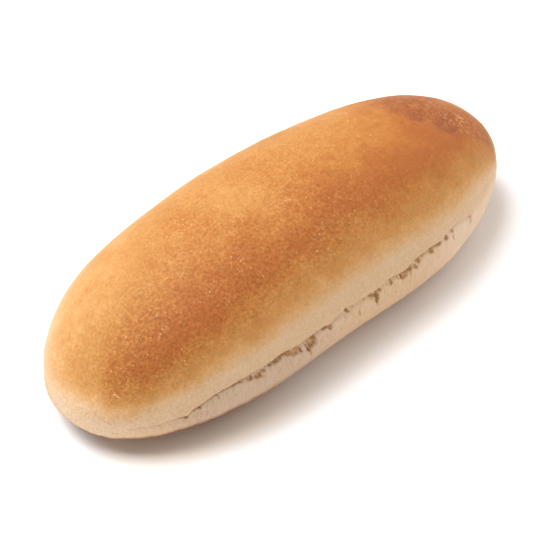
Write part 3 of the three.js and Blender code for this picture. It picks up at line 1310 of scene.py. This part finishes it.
    # Creases are painted only: shade in the folds and highlights along the raised flecks.
    creases: tuple[Crease, ...] = (
        Crease(
            ((-0.957, 150.9), (-0.958, 155.0), (-0.955, 160.2), (-0.948, 166.0), (-0.933, 172.4)), 0.42, 0.42
        ),
        Crease(((-0.977, 155.8), (-0.972, 152.8), (-0.966, 151.2)), 0.42, 0.36),
        Crease(((-0.897, 180.8), (-0.882, 180.5), (-0.858, 180.8), (-0.81, 183.0)), 0.6, 0.3),
        Crease(((-0.932, 184.7), (-0.921, 185.2)), 0.5, 0.45),
        Crease(((-0.899, 142.7), (-0.894, 144.2), (-0.889, 148.6)), 0.3, -0.42),
        Crease(((-0.939, 137.0), (-0.937, 138.4)), 0.34, -0.35),
    )
    blisters: tuple[BlisterField, ...] = (
        BlisterField(60.0, 112.0, 3.6, 8.0, 26, (0.35, 0.8), 0.35),
        BlisterField(57.0, 84.0, 5.0, 9.0, 10, (0.4, 0.9), 0.25),
        BlisterField(-48.0, 100.0, 14.0, 17.0, 46, (0.25, 0.5), 0.25),
        BlisterField(-5.0, 105.0, 22.0, 17.0, 30, (0.25, 0.45), 0.25),
    )

    def make(self) -> bpy.types.Object:
        """Returns:
            The finished piece.
        """
        low, high = (np.array(corner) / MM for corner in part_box(self.node))
        loaf = Loaf(length=float(high[0] - low[0]))
        skin = Skin(loaf, (self.front, self.back), self.creases, self.blisters, self.browning)
        points, faces, attributes, flat, folds = skin.build()
        fitted = self._fit(np.vstack([points, folds]), low, high)
        points, folds = fitted[: len(points)], fitted[len(points) :]
        breaks = np.cumsum([len(crease.places) for crease in self.creases])[:-1]
        creases = list(zip(self.creases, np.split(folds, breaks)))
        mesh = bpy.data.meshes.new(self.piece)
        mesh.from_pydata((points * MM).tolist(), [], faces)
        self._store(mesh, attributes, flat)
        mesh.polygons.foreach_set("use_smooth", [True] * len(mesh.polygons))
        mesh.materials.append(self.finish.make(creases))
        mesh.update()
        piece = bpy.data.objects.new(self.piece, mesh)
        bpy.context.scene.collection.objects.link(piece)
        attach(piece, "root")
        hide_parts(self.node)
        triangles = sum(len(face) - 2 for face in faces)
        LOG.info("%s: %d points, %d triangles", self.piece, len(points), triangles)
        return piece

    @staticmethod
    def _fit(points: Array, low: Array, high: Array) -> Array:
        """Moves and scales points a little, so that their box is the solid's box.

        Args:
            points: the points in millimetres.
            low: the box's lowest corner.
            high: its highest corner.

        Returns:
            The fitted points.
        """
        span = points.max(axis=0) - points.min(axis=0)
        LOG.info("scaled by %s to the solid's box", np.round((high - low) / span, 4))
        return (points - points.min(axis=0)) * ((high - low) / span) + low

    @staticmethod
    def _store(mesh: bpy.types.Mesh, attributes: dict[str, Array], flat: Array) -> None:
        """Stores the numbers that the finish reads, and the flat map.

        Args:
            mesh: the bun's mesh.
            attributes: a number per point for each attribute.
            flat: each point's place on the flat map, along the bun and round it.
        """
        for name, values in attributes.items():
            layer = mesh.attributes.new(name, "FLOAT", "POINT")
            layer.data.foreach_set("value", values.astype(np.float32))
        corner = np.zeros(len(mesh.loops), np.int32)
        mesh.loops.foreach_get("vertex_index", corner)
        along = 0.5 + np.arcsin(np.clip(flat[corner, 0], -1.0, 1.0)) / math.pi
        around = flat[corner, 1]
        starts = np.zeros(len(mesh.polygons), np.int32)
        mesh.polygons.foreach_get("loop_start", starts)
        face = np.repeat(np.arange(len(starts)), np.diff(np.append(starts, len(corner))))
        widest = np.maximum.reduceat(around, starts)[face]
        around = np.where((widest > 0.9) & (around < 0.1), around + 1.0, around)
        margin = 0.002
        uv = mesh.uv_layers.new(name="OFBake")
        spread = np.stack([along, around], axis=1) * (1.0 - 2.0 * margin) + margin
        uv.uv.foreach_set("vector", spread.astype(np.float32).ravel())


# ---------------------------------------------------------------- finishes

Colour = tuple[float, float, float]


@dataclass(frozen=True)
class CrustFinish:
    """Baked crust: browned above, pale low on the sides, bare crumb in the splits and a toasted sole."""

    bake: tuple[tuple[float, Colour], ...] = (
        (0.0, (0.69, 0.49, 0.32)),
        (0.1, (0.64, 0.43, 0.26)),
        (0.22, (0.62, 0.385, 0.195)),
        (0.4, (0.565, 0.295, 0.108)),
        (0.55, (0.48, 0.225, 0.067)),
        (0.68, (0.445, 0.20, 0.055)),
        (0.82, (0.40, 0.155, 0.037)),
        (1.0, (0.335, 0.105, 0.025)),
    )
    scorched: Colour = (0.23, 0.067, 0.024)
    # Pale colour of burst blisters, also used for the painted glints and the painted highlight arcs.
    blister_and_glint: Colour = (0.86, 0.52, 0.26)
    burst: Colour = (0.68, 0.34, 0.16)
    # Painted highlight along the raised flecks.
    fleck_highlight: Colour = (0.85, 0.66, 0.45)
    freckle: Colour = (0.36, 0.15, 0.045)
    # Crumb in the tears and band, also used for the creases' painted shade.
    crumb_and_crease_shade: Colour = (0.44, 0.225, 0.09)
    # Dark crumb in the tears, also used for the painted shade of the gap under the lips.
    dark_crumb_and_gap_shade: Colour = (0.22, 0.09, 0.03)
    fibre: Colour = (0.68, 0.48, 0.31)
    # Painted shade: the greyer, darker tone of the band under the lips towards the near end.
    dull: Colour = (0.86, 0.89, 0.985)
    far_band: Colour = (0.74, 0.56, 0.42)
    toasted: Colour = (0.43, 0.19, 0.085)
    # The sole edge's colour, darkened with painted contact shade.
    rim: Colour = (0.17, 0.062, 0.025)
    sole: tuple[Colour, Colour] = ((0.42, 0.17, 0.06), (0.56, 0.27, 0.11))
    pebble_shades: tuple[Colour, Colour] = ((0.80, 0.78, 0.76), (1.16, 1.18, 1.20))
    roughness: float = 0.6
    gloss: float = 0.12
    subsurface: float = 0.1
    subsurface_mm: float = 1.0

    def make(self, creases: list[tuple[Crease, Array]]) -> bpy.types.Material:
        """Builds the material.

        Args:
            creases: the creases, each with its points in millimetres.

        Returns:
            The material.
        """
        bench = Bench("baked_crust")
        baked = bench.attribute("baked")
        mottle = bench.noise(8.0, 3.0) - 0.5
        grain = bench.noise(2.4, 3.0) - 0.5
        fine = bench.noise(0.9, 2.0) - 0.5
        pebble = bench.noise(0.72, 1.0)
        pebbled = bench.attribute("pebbled")
        level = baked + (mottle * 0.34 + grain * 0.28 + fine * pebbled * 0.5) * baked.eased(-0.15, 0.6)
        colour = bench.add("ShaderNodeValToRGB", {"stops": list(self.bake)}, {"Fac": level}, "Color")
        colour = self._scorch(bench, colour, mottle, grain, fine)
        shade = bench.mix(pebble.eased(0.26, 0.74), *self.pebble_shades)
        colour = bench.mix(pebbled, colour, shade, "MULTIPLY")

        freckles = self._spots(bench, 1.3, 0.32, 0.25, 7.0)
        freckles = freckles * baked.eased(0.12, 0.25) * baked.eased(0.85, 0.5)
        colour = bench.mix(freckles * 0.5, colour, self.freckle)
        crowd = baked.eased(0.3, 0.75) * pebbled
        # Painted glints: small specular highlights painted as pale spots, also used as a bump.
        painted_glints = self._spots(bench, 1.0, 0.26, 0.36, 9.0) * crowd
        blisters = self._spots(bench, 2.8, 0.36, 0.34, 16.0) * baked.eased(0.2, 0.4)
        # Painted highlights: pale arcs where light catches one side of small blisters, also used as a bump.
        lit_arcs = (1.0 - abs(bench.noise(1.2, 1.0) - 0.5) * 10.0).eased(0.1, 0.9)
        lit_arcs = lit_arcs * bench.noise(1.5, 1.0).eased(0.54, 0.64)
        lit_arcs = lit_arcs * bench.noise(9.0, 2.0).eased(0.45, 0.65) * crowd
        colour = bench.mix(lit_arcs * 0.2, colour, self.blister_and_glint)
        colour = bench.mix(painted_glints * 0.5, colour, self.blister_and_glint)
        colour = bench.mix(blisters * 0.42, colour, self.blister_and_glint)
        colour = self._split(bench, colour)
        # Creases: painted shade in the folds and painted highlights on the raised flecks.
        for crease, points in creases:
            line = bench.near(points, crease.width) * abs(crease.shade)
            colour = bench.mix(line, colour, self.crumb_and_crease_shade if crease.shade > 0 else self.fleck_highlight)
        colour = self._underside(bench, colour, mottle, fine)

        normal = bench.bump(bench.noise(1.3, 3.0) * pebbled, 0.14)
        normal = bench.bump(pebble * pebbled, 0.08, normal)
        normal = bench.bump(painted_glints.most(lit_arcs), 0.04, normal)
        normal = bench.bump(blisters, 0.1, normal)
        sockets = {
            "Base Color": colour,
            "Roughness": self.roughness,
            "Specular IOR Level": self.gloss,
            "Subsurface Weight": self.subsurface,
            "Subsurface Scale": self.subsurface_mm * MM,
            "Normal": normal,
        }
        return bench.finish(bench.add("ShaderNodeBsdfPrincipled", {}, sockets))

    def _scorch(self, bench: Bench, colour: Value, mottle: Value, grain: Value, fine: Value) -> Value:
        """Lays the scorched patch and its burst blisters over a colour.

        Args:
            bench: where the nodes go.
            colour: the colour under them.
            mottle: coarse noise about 0.
            grain: finer noise about 0.
            fine: the finest noise about 0.

        Returns:
            The new colour.
        """
        scorched = bench.attribute("scorched")
        scorched = (scorched * (1.0 + mottle * 1.1 + grain * 1.2 + fine * 0.9)).eased(0.08, 1.1)
        colour = bench.mix(scorched * 0.9, colour, self.scorched)
        ridges = 1.0 - abs(bench.noise(1.9, 1.0, (1.1, 0.6, 0.7)) - 0.5) * 6.5
        broken = bench.noise(0.8, 1.0, (1.0, 0.7, 0.8)).eased(0.42, 0.58)
        streaks = ridges.eased(0.1, 0.9) * broken * (grain + 0.5).eased(0.36, 0.54)
        streaks = streaks * bench.attribute("charred")
        return bench.mix(streaks * 0.44, colour, self.burst)

    @staticmethod
    def _spots(bench: Bench, spacing: float, radius: float, share: float, crowding: float) -> Value:
        """Round spots scattered over the crust in clusters.

        Args:
            bench: where the nodes go.
            spacing: the distance between places that may carry a spot, in millimetres.
            radius: the largest spot's radius in millimetres.
            share: how many of the places carry one, from 0 to 1.
            crowding: the width of a cluster in millimetres.

        Returns:
            1 in a spot's middle, falling to 0 at its rim and between the spots.
        """
        place = bench.add("ShaderNodeTexCoord", {}, {}, "Object")
        sockets = {"Vector": place, "Scale": 1 / (spacing * MM), "Randomness": 1.0}
        away = bench.add("ShaderNodeTexVoronoi", {}, sockets, "Distance")
        own_colour = Value(bench, away.socket.node.outputs["Color"])
        chance = bench.add("ShaderNodeSeparateColor", {}, {"Color": own_colour}, "Red")
        crowd = (bench.noise(crowding, 2.0) - 0.5) * 1.6
        size = (chance + crowd).eased(1.0 - share, 1.3 - share) * radius / spacing
        return (1.0 - away / (size + 0.001)).eased(0.0, 0.5)

    def _split(self, bench: Bench, colour: Value) -> Value:
        """Lays the stretched skin, the torn crumb, the painted shade under the lips and the gap's dark line
        of painted shade in the splits over a colour.

        Args:
            bench: where the nodes go.
            colour: the colour under them.

        Returns:
            The new colour.
        """
        band = bench.attribute("band")
        fibres = bench.noise(0.45, 2.0, (1.0, 0.5, 0.16))
        colour = bench.mix(band * fibres.eased(0.35, 0.7) * 0.5, colour, self.fibre)
        colour = bench.mix(band * fibres.eased(0.5, 0.3) * 0.3, colour, self.crumb_and_crease_shade)
        # Painted shade under the lips, weaker on the back.
        colour = bench.mix(bench.attribute("dull"), colour, self.dull, "MULTIPLY")
        colour = bench.mix(bench.attribute("far") * 0.6, colour, self.far_band)
        strands = bench.noise(0.42, 2.0, (1.0, 0.6, 0.4)) - 0.5
        torn = bench.attribute("torn") * (1.0 + strands * 2.0)
        colour = bench.mix(torn.eased(0.05, 0.6) * 0.85, colour, self.crumb_and_crease_shade)
        colour = bench.mix(torn.eased(0.5, 1.05) * 0.9, colour, self.dark_crumb_and_gap_shade)
        # The gap: a dark line of painted shade in the crack under each lip.
        gap = (bench.attribute("gap") * (1.0 + strands * 0.8)).least(1.0)
        return bench.mix(gap * 0.8, colour, self.dark_crumb_and_gap_shade)

    def _underside(self, bench: Bench, colour: Value, mottle: Value, fine: Value) -> Value:
        """Lays the toasted edge, the baked sole and the dark line round it, a browned edge with painted
        contact shade, over a colour.

        Args:
            bench: where the nodes go.
            colour: the colour under them.
            mottle: coarse noise about 0.
            fine: fine noise about 0.

        Returns:
            The new colour.
        """
        place = bench.add("ShaderNodeTexCoord", {}, {}, "Object")
        height = bench.add("ShaderNodeSeparateXYZ", {}, {"Vector": place}, "Z") / MM
        toast = (bench.attribute("toasted") * (1.0 + fine * 0.8 + mottle * 0.6)).eased(0.0, 1.0)
        colour = bench.mix(toast * 0.7, colour, self.toasted)
        sole = (height + mottle * 4.0 + fine * 1.5).eased(3.0, 0.4) * 0.9
        baked = bench.mix((fine + mottle + 0.5).eased(0.2, 0.8), *self.sole)
        colour = bench.mix(sole, colour, baked)
        # The rim: browned sole edge with painted contact shade.
        return bench.mix(bench.attribute("rim") * 0.85, colour, self.rim)


@dataclass(frozen=True)
class FloorFinish:
    """Plain white matte floor, with warm bounce light from the crust painted on it close to the bun's shaded
    side.
    """

    colour: Colour = (0.9, 0.9, 0.9)
    painted_bounce: Colour = (1.0, 0.91, 0.79)
    reach: tuple[float, float] = (84.0 * MM, 39.0 * MM)
    roughness: float = 0.9

    def make(self) -> bpy.types.Material:
        """Builds the material.

        Returns:
            The material.
        """
        bench = Bench("plain_floor")
        place = bench.add("ShaderNodeTexCoord", {}, {}, "Object")
        along = bench.add("ShaderNodeSeparateXYZ", {}, {"Vector": place}, "X")
        across = bench.add("ShaderNodeSeparateXYZ", {}, {"Vector": place}, "Y")
        away = abs(along / self.reach[0]) ** 2.5 + abs(across / self.reach[1]) ** 2.5
        # Painted bounce light: a warm pool on the floor close to the bun's shaded side.
        painted_bounce = away.eased(1.0, 0.55) * across.eased(0.0, -20.0 * MM)
        painted_bounce = painted_bounce * (along.eased(-5.0 * MM, -45.0 * MM) * 0.85 + 0.15)
        colour = bench.mix(painted_bounce, self.colour, self.painted_bounce)
        sockets = {"Base Color": colour, "Roughness": self.roughness}
        return bench.finish(bench.add("ShaderNodeBsdfPrincipled", {}, sockets))


# ---------------------------------------------------------------- studio


@dataclass(frozen=True)
class Lamp:
    """A square soft light that faces the bun."""

    name: str
    azimuth: float
    elevation: float
    distance: float
    size: float
    power: float
    colour: tuple[float, float, float] = (1.0, 1.0, 1.0)

    def make(self, target: Vector) -> bpy.types.Object:
        """Adds the light.

        Args:
            target: the point that it faces.

        Returns:
            The light.
        """
        data = bpy.data.lights.new(self.name, "AREA")
        data.shape = "SQUARE"
        data.size = self.size
        data.energy = self.power
        data.color = self.colour
        lamp = bpy.data.objects.new(self.name, data)
        back = direction(self.azimuth, self.elevation)
        lamp.location = target + back * self.distance
        lamp.rotation_euler = back.to_track_quat("Z", "Y").to_euler()
        bpy.context.scene.collection.objects.link(lamp)
        return lamp


def direction(azimuth: float, elevation: float) -> Vector:
    """The way from the bun towards a viewer: azimuth 0 stands at -Y, 90 at +X."""
    az, el = math.radians(azimuth), math.radians(elevation)
    return Vector((math.sin(az) * math.cos(el), -math.cos(az) * math.cos(el), math.sin(el)))


@dataclass
class Studio:
    """White floor, soft lights and the camera."""

    floor_finish: FloorFinish = field(default_factory=FloorFinish)
    floor_size: float = 6.0
    sky: float = 0.5
    sky_colour: Colour = (1.0, 0.972, 0.935)
    lamps: tuple[Lamp, ...] = (
        Lamp("key", 218.0, 65.0, distance=0.9, size=0.68, power=12.5, colour=(0.985, 1.0, 1.035)),
        Lamp("side", 80.0, 30.0, distance=1.0, size=1.0, power=4.5, colour=(1.0, 0.94, 0.9)),
    )
    azimuth: float = -41.9
    elevation: float = 45.0
    distance: float = 0.65
    lens: float = 162.37
    pivot: tuple[float, float, float] = (0.0, 0.00021, 0.02)
    shift: tuple[float, float] = (-0.0202, -0.0459)
    sensor: float = 36.0
    clip: tuple[float, float] = (0.01, 20.0)

    def make(self) -> None:
        """Builds the floor, the lights and the camera."""
        self._floor()
        self._sky()
        for lamp in self.lamps:
            lamp.make(Vector(self.pivot))
        self._camera()
        view = bpy.context.scene.view_settings
        view.view_transform = "Standard"
        view.look = "None"
        LOG.info("studio: %d lamps", len(self.lamps))

    def _floor(self) -> None:
        """Adds the floor."""
        half = 0.5 * self.floor_size
        corners = [(-half, -half, 0.0), (half, -half, 0.0), (half, half, 0.0), (-half, half, 0.0)]
        mesh = bpy.data.meshes.new("floor")
        mesh.from_pydata(corners, [], [(0, 1, 2, 3)])
        mesh.materials.append(self.floor_finish.make())
        floor = bpy.data.objects.new("floor", mesh)
        bpy.context.scene.collection.objects.link(floor)

    def _sky(self) -> None:
        """Sets the even light from all round."""
        world = bpy.data.worlds.new("studio")
        world.use_nodes = True
        background = world.node_tree.nodes["Background"]
        background.inputs["Color"].default_value = (*self.sky_colour, 1.0)
        background.inputs["Strength"].default_value = self.sky
        bpy.context.scene.world = world

    def _camera(self) -> None:
        """Adds the camera."""
        data = bpy.data.cameras.new("camera")
        data.lens = self.lens
        data.sensor_width = self.sensor
        data.shift_x, data.shift_y = self.shift
        data.clip_start, data.clip_end = self.clip
        camera = bpy.data.objects.new("camera", data)
        camera.location = Vector(self.pivot) + direction(self.azimuth, self.elevation) * self.distance
        camera.rotation_euler = direction(self.azimuth, self.elevation).to_track_quat("Z", "Y").to_euler()
        bpy.context.scene.collection.objects.link(camera)
        bpy.context.scene.camera = camera


def main() -> None:
    """Builds the studio and the bun."""
    logging.basicConfig(level=logging.INFO, format="%(message)s")
    Studio().make()
    Bun(CrustFinish()).make()


if __name__ == "__main__":
    main()
